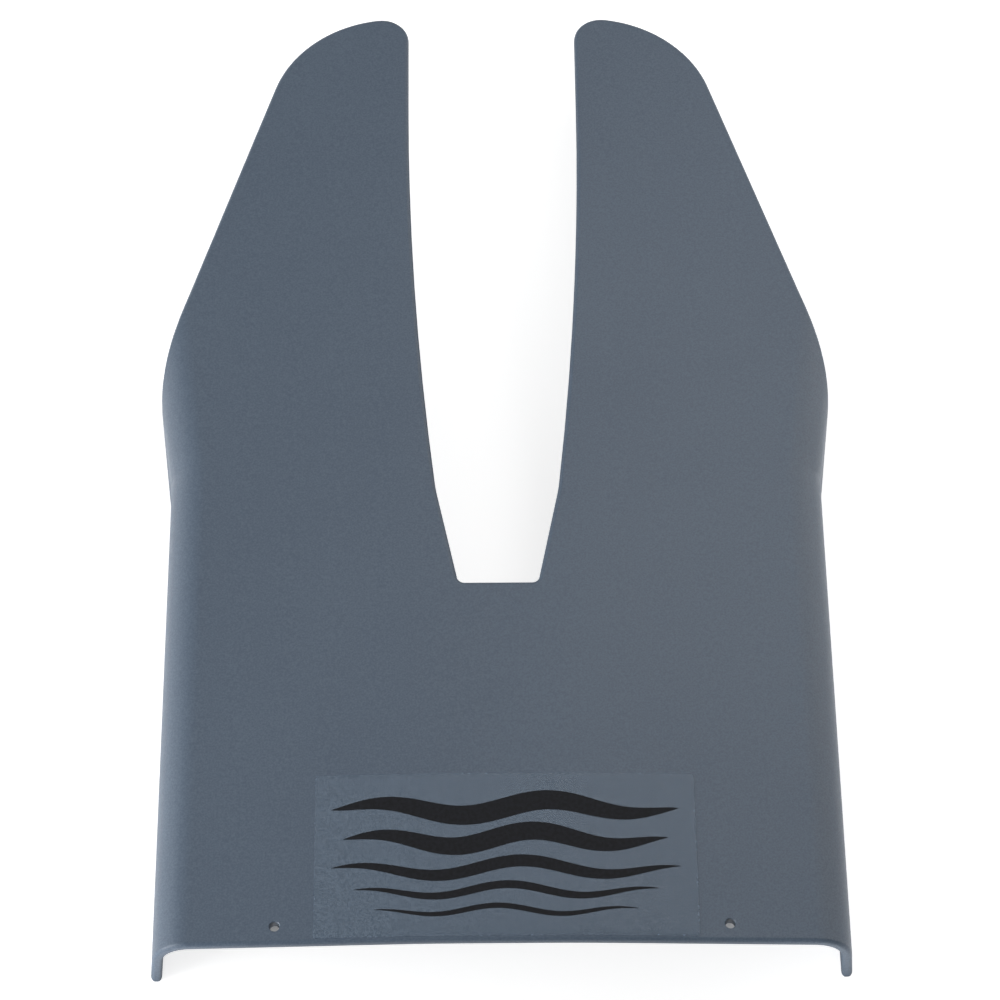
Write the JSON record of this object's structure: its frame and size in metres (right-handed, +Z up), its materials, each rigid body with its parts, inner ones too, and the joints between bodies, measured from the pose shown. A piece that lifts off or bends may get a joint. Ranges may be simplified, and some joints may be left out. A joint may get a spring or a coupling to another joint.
{
  "type": "outboard hydrofoil",
  "caption": "Folded aluminium foil plate for an outboard motor: arms around an open slot, swept edges, turned-down side fins, and a clear label film near the trailing edge.",
  "frame": {"origin": "bottom centre of the whole part: midway across and along it, at the level of the fins' lower edges", "axes": "+X to starboard, +Y forward towards the arm tips and the open end of the slot, +Z up out of the plate's top"},
  "size_m": [0.3568, 0.5715, 0.0461],
  "materials": {
    "coated_sheet": "satin",
    "clear_film": "gloss"
  },
  "bodies": {
    "root": {"foil_plate": "coated_sheet", "label_film": "clear_film"}
  },
  "joints": []
}
